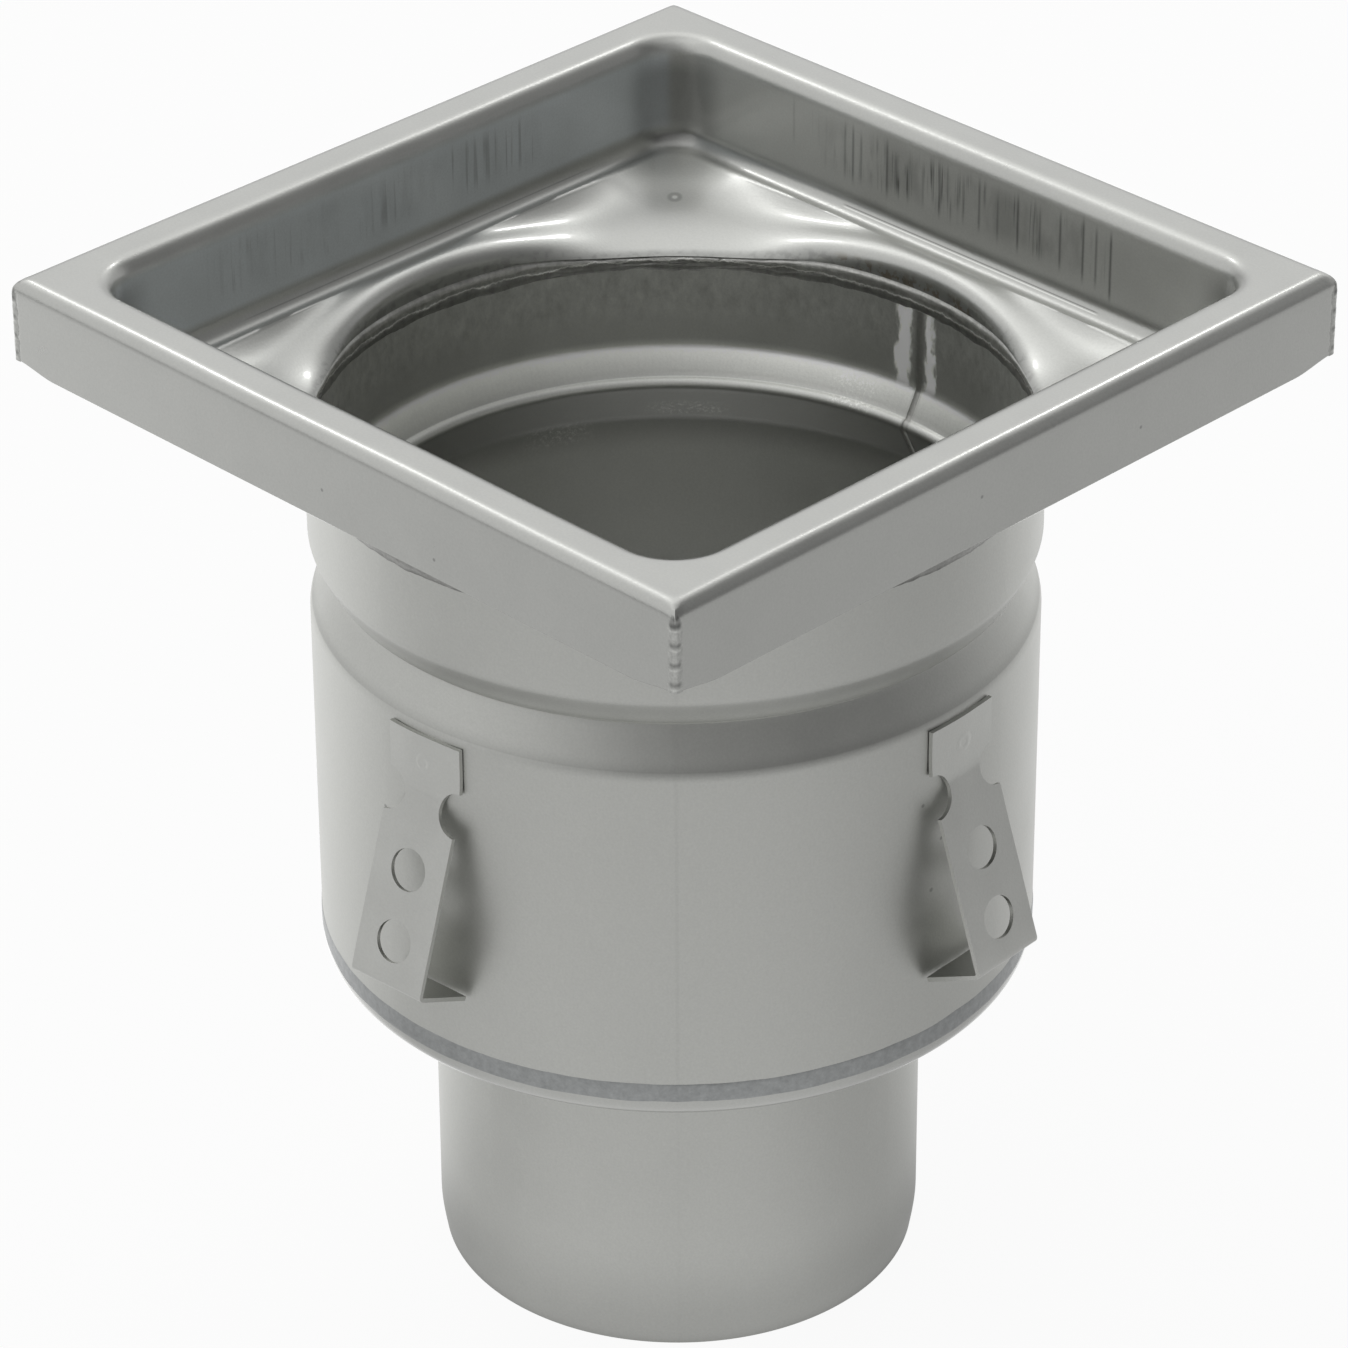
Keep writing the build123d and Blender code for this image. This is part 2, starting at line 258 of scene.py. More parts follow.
def tray_section(angle):
    # Every point of the sheet's section along one ray, as radius and depth
    c, s = math.cos(angle), math.sin(angle)
    points = []

    def square(h, d, corner=SKIRT_CORNER):
        points.append((squircle_ray(h, corner, c, s), d))

    def recess(h, d):
        square(h, d, CORNER + h - RECESS_HALF)

    # The skirt is cut a little short beside its corners, then come fold, rim and recess wall
    low = SKIRT - 1.5 * corner_nearness(angle, 4.0)
    square(FRAME_HALF - CUT_EDGE, low)
    square(FRAME_HALF, low - CUT_EDGE)
    for h, d in line((FRAME_HALF, low - CUT_EDGE), (FRAME_HALF, FOLD), 6):
        square(h, d)
    first, last = FRAME_HALF - FOLD, RECESS_HALF + EDGE
    for h, d in arc(first, -FOLD, FOLD, 0, 90, 10):
        square(h, -d)
    for i in range(1, 6):
        t = i / 6
        square(first + (last - first) * t, 0.0, SKIRT_CORNER + (CORNER + EDGE - SKIRT_CORNER) * t)
    for h, d in arc(last, -EDGE, EDGE, 90, 180, 12):
        recess(h, -d)
    for h, d in line((RECESS_HALF, EDGE), (RECESS_HALF, FLOOR - FOOT), 8):
        recess(h, d)
    for h, d in arc(RECESS_HALF - FOOT, FOOT - FLOOR, FOOT, 0, -90, 10):
        recess(h, -d)

    # The floor, which falls toward the funnel in the corners
    foot = squircle_ray(RECESS_HALF - FOOT, CORNER - FOOT, c, s)
    crease, mix, end = throat_shape(c, s)
    run = foot - crease
    fall = CORNER_FALL * smooth(0.0, 1.0, mix)
    slope = []
    for i in range(1, 9):
        slope.append((foot - run * FLOOR_PART * i / 9, FLOOR + fall * (FLOOR_PART * i / 9) ** 0.92))
    ledge_end = slope[-1][0]

    # The funnel turns down tightly at mid-side and slowly in the corners
    tight, slow = 5.0, 1.4
    power = tight + (slow - tight) * smooth(0.0, 1.0, min(max(mix, 0.0), 1.0) ** 0.7)
    soft = min(max(run / 4.0, 0.25), 2.2)
    start = FLOOR + fall * 0.87
    for i in range(1, 33):
        t = (i / 32) ** 1.6
        inward = (crease - NECK_R) * (1 - (1 - t) ** power)
        q = inward / soft
        r = crease - (soft * math.log(math.exp(q) - 1) if 1e-6 < q < 30 else inward)
        r = min(r, ledge_end - 0.02 * i)
        slope.append((max(r, NECK_R), start + (end - start) * t))
    points += eased(slope, 44, 0.12 + 0.88 * smooth(0.0, 0.8, mix))

    # The neck's cut edge, then the other face of the sheet back to the skirt
    points.append((NECK_R + 0.35, end + 0.15))
    points.append((NECK_R + SHEET, end))
    under_crease = crease_ray(UNDER_CREASE_SIDE, UNDER_CREASE_CORNER, c, s)
    for i in range(15, -1, -1):
        t = i / 16
        r = NECK_R + SHEET + (under_crease - NECK_R - SHEET) * (1 - t) ** power
        points.append((r, start + SHEET + (end - start - SHEET) * t))
    for h, d in arc(RECESS_HALF - FOOT, FOOT - FLOOR, FOOT + SHEET, -90, 0, 6):
        recess(h, -d)
    for h, d in arc(last, -EDGE, EDGE - SHEET, 180, 90, 6):
        recess(h, -d)
    for h, d in arc(first, -FOLD, FOLD - SHEET, 90, 0, 6):
        square(h, -d)
    square(FRAME_HALF - SHEET, low - CUT_EDGE)
    square(FRAME_HALF - SHEET + CUT_EDGE, low)
    return points


def tray_wobble(x, y, d):
    # Slight unevenness of drawn sheet, which fades out at the skirt
    uneven = 0.16 * noise.noise(Vector((x * 0.022, y * 0.022, d * 0.03)))
    return uneven * smooth(FRAME_HALF + 1.0, FRAME_HALF - 4.0, max(abs(x), abs(y)))


def make_tray(material):
    angles = tray_angles()
    rings = []
    for level in zip(*[tray_section(a) for a in angles]):
        ring = []
        for a, (r, d) in zip(angles, level):
            x, y = r * math.cos(a), r * math.sin(a)
            ring.append(at(x, y, d + tray_wobble(x, y, d)))
        rings.append(ring)
    verts, faces = skin(rings, True)
    return finish_piece("frame_tray_sheet", verts, faces, ["frame_tray"], material)


def bead_profile(inset):
    # The tube wall from top to bottom: it bends in to a lip, creases, and slopes out to a soft shoulder
    upper_bend, lower_bend = 4.0, 6.0
    flank_top, flank_foot = (79.53, 59.48), (76.7, 64.8)
    crease, slope_top, slope_foot = (74.95, 66.4), (75.1, 66.8), (79.23, 75.0)
    points = [(BODY_R, BODY_TOP)] + line((BODY_R, BODY_TOP), (BODY_R, BEAD_START), 6)
    points += arc(BODY_R - upper_bend, BEAD_START, upper_bend, 0, 28, 7)
    points += line(flank_top, flank_foot, 6)
    points += arc(75.26, 64.03, 1.63, 32, 84, 7)
    points += [(75.15, 66.0), crease, slope_top]
    points += line(slope_top, slope_foot, 8)
    points += arc(BODY_R - lower_bend, BEAD_END, lower_bend, -29.4, 0, 8)
    points += line((BODY_R, BEAD_END), (BODY_R, BODY_END), 14) + [(BODY_R, BODY_END)]
    return offset_line(points, inset) if inset else points


def make_body(material):
    verts, faces = lathe(bead_profile(0.0) + list(reversed(bead_profile(THIN))), BODY_STEPS)
    return finish_piece("body_tube_sheet", verts, faces, ["body_tube"], material)


def make_body_seam(material):
    # A low rounded bead along the inside and the outside of the tube
    half = 0.9
    rings = []
    for side, inset in ((1, 0.0), (-1, THIN)):
        path = bead_profile(inset)
        if side < 0:
            path.reverse()
        for i, (r, d) in enumerate(path):
            tr, td = direction_at(path, i)
            nr = abs(td) * side
            nd = -tr * (1 if td > 0 else -1) * side
            ring = []
            for w in (-half, -0.6, -0.3, 0.0, 0.3, 0.6, half):
                lump = 0.16 * (1 - (w / half) ** 2) - 0.03
                lump += 0.04 * noise.noise(Vector((w * 2, d * 1.3, side)))
                ring.append(polar(r + nr * lump, SEAM_AT + w / r, d + nd * lump))
            rings.append(ring)
    verts, faces = skin(rings, True, False)
    return finish_piece("body_seam_bead", verts, faces, ["body_seam_weld"], material)


def make_throat_weld(material):
    # An uneven filled strip between the end of the tray's sheet and the top of the tube.
    # Radii count from the neck, and depths from the end of the sheet or from the top of the tube.
    face = ((1.6, -0.5), (1.0, -0.25), (0.62, 0.15), (0.5, 0.42), (0.16, 0.66), (-0.04, 1.0),
            (-0.1, 1.5), (-0.1, 2.0), (-0.02, 2.4), (-0.14, 2.8), (-0.16, 3.3))
    foot = ((-0.08, 0.0), (0.04, 0.35), (0.6, 0.7), (1.5, 0.2))
    back = ((1.9, 3.0), (1.8, 1.0))
    first_uneven, first_rippled = 4, 5
    tall = 4.2  # from the top to the foot in the profile
    rings = []
    for index, (r, d) in enumerate(face + foot + back):
        on_foot = len(face) <= index < len(face) + len(foot)
        ring = []
        for a in turns(720):
            top = throat_shape(math.cos(a), math.sin(a))[2]
            p = Vector((math.cos(a) * 14, math.sin(a) * 14, index * 0.35))
            low = BODY_TOP + 0.75 * noise.noise(p * 0.6) + 0.3 * noise.noise(p * 2.3)
            if on_foot:
                depth = low + d
            else:
                depth = top + d * min(max((low - top) / tall, 0.6), 1.4)
            if first_rippled <= index < len(face):
                depth += 0.3 * noise.noise(p * 1.3 + Vector((3, 0, 0)))
            uneven = 0.1 * noise.noise(p * 1.1) + 0.06 * noise.noise(p * 3.7)
            ring.append(polar(NECK_R + r + (uneven if index >= first_uneven else 0.0), a, depth))
        rings.append(ring)
    verts, faces = skin(rings, True)
    return finish_piece("throat_weld_bead", verts, faces, ["throat_weld"], material, 60)


def make_base_weld(material):
    # A ground band with wavy edges. Radii count from the tube.
    profile = ((-1.0, 155.2), (-0.06, 153.4), (0.09, 153.8), (0.13, 154.8), (0.12, 156.0), (0.1, 157.2),
               (0.05, 157.9), (-0.08, 158.3), (-1.0, 156.3))
    rings = []
    for index, (out, d) in enumerate(profile):
        ring = []
        for a in turns(480):
            p = Vector((math.cos(a) * 9, math.sin(a) * 9, d * 0.4))
            depth = d + 0.28 * noise.noise(p * 0.8 + Vector((0, 0, index)))
            ring.append(polar(BODY_R + out + 0.05 * noise.noise(p * 1.7), a, depth))
        rings.append(ring)
    verts, faces = skin(rings, True)
    return finish_piece("base_weld_band", verts, faces, ["base_weld"], material, 60)


def make_base_cap(material):
    hole, turned = OUTLET_R - THIN, BODY_R - BASE_CORNER
    outer = [(BODY_R, BASE_TOP)] + line((BODY_R, BASE_TOP), (BODY_R, BASE_TURN), 3)
    outer += arc(turned, BASE_TURN, BASE_CORNER, 0, 90, 12)
    outer += line((turned, BASE_UNDER), (hole, BASE_UNDER), 8)
    outer += [(hole, BASE_UNDER), (hole, BASE_UNDER - THIN)]
    inner = line((hole, BASE_UNDER - THIN), (turned, BASE_UNDER - THIN), 8)
    inner += arc(turned, BASE_TURN, BASE_CORNER - THIN, 90, 0, 12)
    inner += [(BODY_R - THIN, BASE_TOP)]
    verts, faces = lathe(outer + inner, BODY_STEPS)
    return finish_piece("base_cap_dish", verts, faces, ["base_cap"], material)


def make_outlet(material):
    # The pipe steps in where it enters the base cap and draws in slightly at its cut end
    start, inside = BASE_UNDER - THIN, OUTLET_R - THIN
    entry = ((THIN, OUTLET_ENTRY - 1.2), (0.5, OUTLET_ENTRY - 0.6), (0.0, OUTLET_ENTRY))
    outer = [(OUTLET_R - THIN, start)] + [(OUTLET_R - step, d) for step, d in entry]
    outer += line((OUTLET_R, OUTLET_ENTRY), (OUTLET_R, TAPER), 16)
    inner = []
    for i in range(11):
        t = i / 10
        narrow = 1.0 * t * t * (1.6 - 0.6 * t)
        depth = TAPER + (TOP - TAPER - 0.15) * t
        outer.append((OUTLET_R - narrow, depth))
        inner.append((inside - narrow, depth))
    outer += [(OUTLET_R - 1.2, TOP), (OUTLET_R - 1.8, TOP)]
    inner = list(reversed(inner)) + line((inside, TAPER), (inside, OUTLET_ENTRY), 16)
    inner += [(inside - step, d) for step, d in reversed(entry)] + [(inside - THIN, start)]
    verts, faces = lathe(outer + inner, OUTLET_STEPS)
    return finish_piece("outlet_pipe_sheet", verts, faces, ["outlet_pipe"], material)


def make_outlet_seam(material):
    half, top, foot = 0.8, BASE_UNDER + 3.0, 232.5
    rings = []
    for side, radius in ((1, OUTLET_R), (-1, OUTLET_R - THIN)):
        depths = [top + (foot - BASE_UNDER - 3.0) * i / 24 for i in range(25)]
        if side < 0:
            depths.reverse()
        for d in depths:
            ring = []
            for w in (-half, -0.5, -0.2, 0.2, 0.5, half):
                lump = 0.03 * (1 - (w / half) ** 2) + 0.01 * noise.noise(Vector((w, d * 0.8, side)))
                ring.append(polar(radius + side * lump, OUTLET_SEAM_AT + w / radius, d))
            rings.append(ring)
    verts, faces = skin(rings, True, False)
    return finish_piece("outlet_seam_bead", verts, faces, ["outlet_seam_weld"], material)


def make_outlet_weld(material):
    # A rippled fillet. Radii count from the pipe's neck, and depths from under the base cap.
    profile = ((-0.3, -0.3), (4.0, -0.2), (3.7, 0.4), (2.6, 1.4), (1.6, 2.3), (0.6, 3.5), (-0.1, 4.0))
    ripples = 95
    rings = []
    for index, (out, down) in enumerate(profile):
        r, d = OUTLET_R - THIN + out, BASE_UNDER + down
        ring = []
        for a in turns(360):
            ripple = 0.12 * math.sin(a * ripples) if 1 < index < 6 else 0.0
            uneven = 0.15 * noise.noise(Vector((math.cos(a) * 12, math.sin(a) * 12, d)))
            ring.append(polar(r + ripple + uneven, a, d + ripple * 0.7))
        rings.append(ring)
    verts, faces = skin(rings, True)
    return finish_piece("outlet_weld_fillet", verts, faces, ["outlet_weld"], material, 60)


def make_corner_weld(number, material):
    # A low row of overlapping pools up the corner of the skirt, thinning out over the fold
    sx, sy = ((1, 1), (-1, 1), (-1, -1), (1, -1))[number - 1]
    straight, bent = 48, 12
    start = SKIRT - 1.5
    path = [(0.0, start - (start - FOLD) * i / straight) for i in range(straight)]
    for i in range(bent):
        turn = math.radians(6.0 * i)
        path.append((turn, FOLD - FOLD * math.sin(turn)))
    across = [1 - i / 8 for i in range(8)]
    # From one edge of the weld to the corner on the first face, and back out on the second
    parts = [(0, part) for part in across] + [(1, part) for part in [0.0] + list(reversed(across))]
    rings = []
    for index, (turn, d) in enumerate(path):
        inset = FOLD * (1 - math.cos(turn))
        fade = 1.0 - smooth(straight - 2, straight + 6, index)
        pool = (d / POOL + number * 0.3) % 1.0
        reach = 2.1 + 0.35 * noise.noise(Vector((d * 0.7, number * 3.0, 0))) - 0.35 * abs(pool - 0.5)
        ring = []
        for face, part in parts:
            w = part * reach
            lump = 0.12 * (1 - part ** 2) * (0.55 + 0.45 * math.sin(math.pi * pool)) + 0.015
            lump += 0.05 * noise.noise(Vector((w * 2.3 + face * 3, d * 1.9, number * 5.0)))
            lump = max(lump, -0.03) * fade - 0.12 * (1 - fade)
            corner = max(0.0, 1.0 - w)
            back = 0.3 * corner * corner
            x = FRAME_HALF - inset - (0.0 if face == 0 else w) - back
            y = FRAME_HALF - inset - (w if face == 0 else 0.0) - back
            nx = math.cos(turn) * (1.0 if face == 0 else 0.0)
            ny = math.cos(turn) * (0.0 if face == 0 else 1.0)
            if w < 1.0:
                nx, ny = (math.cos(turn) * 0.7071,) * 2
            ring.append(at(sx * (x + nx * lump), sy * (y + ny * lump), d - math.sin(turn) * lump))
        for w in (2.2, 1.1):
            behind = FRAME_HALF - inset - 1.2 - w * 0.2
            ring.append(at(sx * behind, sy * behind, d + 0.9 * math.sin(turn)))
        rings.append(ring)
    verts, faces = capped_skin(rings)
    node = "frame_corner_weld_" + str(number)
    return finish_piece(node + "_bead", verts, faces, [node], material, 75)


def tab_turn(number):
    return math.radians(FIRST_TAB + 90.0 * (number - 1))


def tab_outline(tilt, drop):
    # The strip's outer face from the pad down to the lip, as radius and depth
    big, small = 9.0, 1.5
    bend = (TAB_OUT, TAB_BEND)
    foot = (bend[0] + TAB_LEG * math.sin(tilt), bend[1] + TAB_LEG * math.cos(tilt))
    lip = (foot[0] - TAB_LIP * math.cos(drop), foot[1] + TAB_LIP * math.sin(drop))
    outer = [(bend[0], TAB_TOP)] + line((bend[0], TAB_TOP), bend, 6)[:-1]
    for i in range(9):
        a = tilt * i / 8
        outer.append((bend[0] + big * (1 - math.cos(a)), bend[1] - big * math.tan(tilt / 2) + big * math.sin(a)))
    outer += line(outer[-1], foot, 14)[:-1]
    fold = math.pi - (math.pi / 2 - tilt) - drop
    inner_angle = math.pi - fold
    cut = small / math.tan(inner_angle / 2)
    start = (foot[0] - cut * math.sin(tilt), foot[1] - cut * math.cos(tilt))
    centre = (start[0] - small * math.cos(tilt), start[1] + small * math.sin(tilt))
    for i in range(8):
        a = -tilt + fold * i / 7
        outer.append((centre[0] + small * math.cos(a), centre[1] + small * math.sin(a)))
    return outer + line(outer[-1], lip, 4) + [lip]


def make_tab(number, material):
    # A folded strip with two round holes and a pair of half-round notches
    turn = tab_turn(number)
    tilt, drop = math.radians(18.0), math.radians(25.0)
    outer = tab_outline(tilt, drop)
    section = outer + list(reversed(offset_line(outer, THIN)))
    rings = []
    for step in range(17):
        w = -TAB_HALF + 1.25 * step
        ring = []
        for r, d in section:
            hug = 0.45 * (w / TAB_HALF) ** 2 * (1.0 - smooth(84.0, 92.0, d))
            wave = 0.1 * noise.noise(Vector((w * 0.12, d * 0.09, number * 4.0)))
            ring.append(aside(r - hug + wave, w, d, turn))
        rings.append(ring)
    verts, faces = capped_skin(rings)
    node = "anchor_tab_" + str(number)
    piece = finish_piece(node + "_strip", verts, faces, [node], material, 30)
    normal = Vector((math.cos(tilt) * math.cos(turn), math.cos(tilt) * math.sin(turn), math.sin(tilt)))
    side = Vector((-math.sin(turn), math.cos(turn), 0))
    # Each hole: its way down the leg, its place across, its radius
    holes = ((18.3, 0.0, 4.75), (34.7, 0.0, 4.75), (2.6, TAB_HALF, 5.0), (2.6, -TAB_HALF, 5.0))
    for along, across, radius in holes:
        r, d = TAB_OUT + along * math.sin(tilt), TAB_BEND + along * math.cos(tilt)
        middle = Vector(polar(r, turn, d)) + side * across * MM
        cutter = punch(middle, normal, side, radius)
        cut_out = piece.modifiers.new("punch", "BOOLEAN")
        cut_out.operation = "DIFFERENCE"
        cut_out.solver = "EXACT"
        cut_out.object = cutter
        shape = bpy.data.meshes.new_from_object(piece.evaluated_get(bpy.context.evaluated_depsgraph_get()))
        piece.modifiers.clear()
        piece.data = shape
        bpy.data.objects.remove(cutter)
    piece.data.shade_smooth()
    piece.data.set_sharp_from_angle(angle=math.radians(30))
    bevel = piece.modifiers.new("edge", "BEVEL")
    bevel.width = 0.00011
    bevel.segments = 2
    bevel.limit_method = "ANGLE"
    bevel.angle_limit = math.radians(50)
    return piece


def punch(middle, normal, side, radius):
    # A closed round rod, used only to cut holes and then removed
    half, count = 0.006, 56
    other = normal.cross(side)
    verts = []
    for reach in (-half, half):
        for a in turns(count):
            verts.append(middle + normal * reach + (side * math.cos(a) + other * math.sin(a)) * radius * MM)
    faces = [(k, (k + 1) % count, count + (k + 1) % count, count + k) for k in range(count)]
    faces.append(tuple(reversed(range(count))))
    faces.append(tuple(range(count, 2 * count)))
    mesh = bpy.data.meshes.new("punch")
    mesh.from_pydata([tuple(v) for v in verts], [], faces)
    rod = bpy.data.objects.new("punch", mesh)
    bpy.context.scene.collection.objects.link(rod)
    return rod


def make_spot(number, material):
    # The shallow dimple that the welding tip leaves on the pad, a low ring round a hollow
    turn = tab_turn(number)
    profile = ((0.0, -0.12), (0.5, -0.1), (1.0, -0.02), (1.4, 0.05), (1.8, 0.03), (2.2, -0.01), (SPOT_R, -0.06))
    rings = []
    for radius, lift in profile:
        ring = []
        for a in turns(SPOT_STEPS):
            w = radius * math.cos(a)
            ring.append(aside(TAB_OUT + 0.02 + lift - 0.0045 * w * w, w, SPOT_AT + radius * math.sin(a), turn))
        rings.append(ring)
    rings.append([aside(BODY_R + 0.1, SPOT_R * math.cos(a), SPOT_AT + SPOT_R * math.sin(a), turn)
                  for a in turns(SPOT_STEPS)])
    verts, faces = skin(rings, False)
    faces.append(tuple(range(len(verts) - SPOT_STEPS, len(verts))))
    node = "tab_spot_weld_" + str(number)
    return finish_piece(node + "_dimple", verts, faces, [node], material, 60)


# Node helpers

def plug(tree, socket, value):
    # Sets a plain number, or links the output of another node
    if isinstance(value, (int, float)):
        socket.default_value = value
    else:
        tree.links.new(value, socket)


def math_node(tree, operation, *values):
    node = tree.nodes.new("ShaderNodeMath")
    node.operation = operation
    for socket, value in zip(node.inputs, values):
        plug(tree, socket, value)
    return node.outputs[0]


def map_range(tree, value, low, high, out_low, out_high, kind="SMOOTHSTEP"):
    node = tree.nodes.new("ShaderNodeMapRange")
    node.interpolation_type = kind
    for key, number in (("From Min", low), ("From Max", high), ("To Min", out_low), ("To Max", out_high)):
        node.inputs[key].default_value = number
    plug(tree, node.inputs["Value"], value)
    return node.outputs[0]


def vector_node(tree, operation, vector):
    node = tree.nodes.new("ShaderNodeVectorMath")
    node.operation = operation
    tree.links.new(vector, node.inputs[0])
    return node


def mix_shaders(tree, amount, first, second):
    mix = tree.nodes.new("ShaderNodeMixShader")
    for socket, output in zip(mix.inputs, (amount, first, second)):
        tree.links.new(output, socket)
    return mix.outputs[0]


# Materials

class Steel:
    """Node material of one kind of stainless steel, with helpers that add scalar nodes."""

    def __init__(self, name, colour, roughness):
        self.material = bpy.data.materials.new(name)
        self.material.use_nodes = True
        self.tree = self.material.node_tree
        self.shader = self.tree.nodes["Principled BSDF"]
        self.shader.inputs["Metallic"].default_value = 1.0
        self.place = self.tree.nodes.new("ShaderNodeTexCoord").outputs["Object"]
        split = self.tree.nodes.new("ShaderNodeSeparateXYZ")
        self.tree.links.new(self.place, split.inputs[0])
        self.x = self.math("MULTIPLY", split.outputs[0], PER_METRE)
        self.y = self.math("MULTIPLY", split.outputs[1], PER_METRE)
        self.d = self.math("MULTIPLY_ADD", split.outputs[2], -PER_METRE, TOP)
        self.colour = colour
        self.level = None
        self.rough = self.math("MULTIPLY", 1.0, roughness)
        self.height = None

    def math(self, operation, *values):
        return math_node(self.tree, operation, *values)

    def add(self, a, b):
        return self.math("ADD", a, b)

    def mul(self, value, *others):
        for other in others:
            value = self.math("MULTIPLY", value, other)
        return value

    def hypot(self, a, b):
        return self.math("SQRT", self.add(self.mul(a, a), self.mul(b, b)))

    def plan(self):
        # Grows toward the corners of the frame
        return self.add(self.math("ABSOLUTE", self.x), self.math("ABSOLUTE", self.y))

    def span(self, value, low, high, out_low=0.0, out_high=1.0):
        return map_range(self.tree, value, low, high, out_low, out_high)

    def band(self, value, low, high, soft):
        rising = self.span(value, low - soft, low + soft)
        return self.mul(rising, self.span(value, high - soft, high + soft, 1.0, 0.0))

    def noise(self, size, detail=3.0, stretch=(1, 1, 1), roughness=0.55):
        # size is the grain in millimetres, longer along an axis with a stretch above 1
        mapping = self.tree.nodes.new("ShaderNodeMapping")
        mapping.inputs["Scale"].default_value = [PER_METRE / size / s for s in stretch]
        self.tree.links.new(self.place, mapping.inputs["Vector"])
        node = self.tree.nodes.new("ShaderNodeTexNoise")
        node.inputs["Scale"].default_value = 1.0
        node.inputs["Detail"].default_value = detail
        node.inputs["Roughness"].default_value = roughness
        self.tree.links.new(mapping.outputs[0], node.inputs["Vector"])
        return node.outputs["Fac"]

    def swing(self, value, amount, middle=0.5):
        # A noise made to swing about nothing
        return self.mul(self.add(value, -middle), amount)

    def tone(self, amount):
        # Multiplies the base colour by 1 + amount
        factor = self.add(amount, 1.0)
        self.level = factor if self.level is None else self.mul(self.level, factor)

    def shade(self, amount, *masks):
        # Tones by amount where all the masks meet
        self.tone(self.mul(*masks, amount))

    def roughen(self, amount):
        self.rough = self.add(self.rough, amount)

    def raise_by(self, amount):
        self.height = amount if self.height is None else self.add(self.height, amount)

    def dot(self, along, place, depth, radius):
        # A small round mark at one place along a face and one depth
        return self.span(self.hypot(self.add(along, -place), self.add(self.d, -depth)), radius, radius * 0.4)

    def done(self, tints=()):
        # tints are pairs of a colour and the mask where it shows
        scale = self.tree.nodes.new("ShaderNodeVectorMath")
        scale.operation = "SCALE"
        scale.inputs[0].default_value = self.colour
        below = None
        for colour, mask in tints:
            mix = self.tree.nodes.new("ShaderNodeMix")
            mix.data_type = "RGBA"
            first, second, result = mix.inputs[6], mix.inputs[7], mix.outputs[2]
            first.default_value = (*self.colour, 1)
            second.default_value = (*colour, 1)
            if below is not None:
                self.tree.links.new(below, first)
            plug(self.tree, mix.inputs[0], mask)
            below = result
        if below is not None:
            self.tree.links.new(below, scale.inputs[0])
        plug(self.tree, scale.inputs["Scale"], self.level)
        self.tree.links.new(scale.outputs[0], self.shader.inputs["Base Color"])
        self.tree.links.new(self.rough, self.shader.inputs["Roughness"])
        bump = self.tree.nodes.new("ShaderNodeBump")
        bump.inputs["Strength"].default_value = 0.5
        bump.inputs["Distance"].default_value = 0.0001
        self.tree.links.new(self.height, bump.inputs["Height"])
        self.tree.links.new(bump.outputs[0], self.shader.inputs["Normal"])
        return self.material


def plain_grain(steel, strength=1.0):
    # Fine speckle and soft clouds
    speckle = steel.noise(0.55, 2.0)
    cloud = steel.noise(14.0, 4.0)
    steel.tone(steel.swing(speckle, 0.16 * strength))
    steel.tone(steel.swing(cloud, 0.14 * strength))
    steel.roughen(steel.swing(cloud, 0.12))
    steel.raise_by(steel.mul(speckle, 0.5))


def weld_lumps(steel, size, detail, tone, height):
    lumps = steel.noise(size, detail)
    steel.tone(steel.swing(lumps, tone))
    steel.raise_by(steel.mul(lumps, height))


def drawing_streaks(steel, along, on_wall, low, high, strength, seed):
    # Dark vertical scuffs of the press tool on one wall, between two places along it
    there = steel.mul(on_wall, steel.band(along, low, high, 9.0), steel.band(steel.d, 6.5, 17.5, 2.5))
    fine = steel.noise(1.1 + 0.1 * seed, 2.0, (1, 1, 26))
    spread = steel.noise(9.0 + seed, 2.0, (1, 1, 2))
    steel.shade(-strength, steel.mul(steel.span(fine, 0.52, 0.68), steel.span(spread, 0.4, 0.56)), there)
    smoke = steel.span(steel.noise(5.0 + seed, 3.0, (1, 1, 3)), 0.42, 0.66)
    steel.shade(-0.3 * strength, smoke, there)


# The clearest scuffs on the far wall: place along it, top and bottom depth, darkness
SCUFFS = (
    (-49.0, 5, 15, 0.15), (-33.0, 6, 18, 0.3), (-30.5, 6, 18.5, 0.45), (-28.0, 7, 18, 0.35),
    (-20.0, 6, 18.5, 0.45), (-17.4, 8, 17, 0.3), (-9.0, 8, 17, 0.25), (-4.0, 6, 18, 0.45),
    (3.2, 7, 17, 0.25), (8.0, 6, 17.5, 0.4), (13.5, 8, 18, 0.3), (19.5, 6, 18.5, 0.5),
    (26.0, 7, 18, 0.35), (32.0, 6, 18.5, 0.45), (38.7, 5, 19, 0.5), (42.5, 6, 19, 0.4),
    (46.7, 6, 21, 0.55))


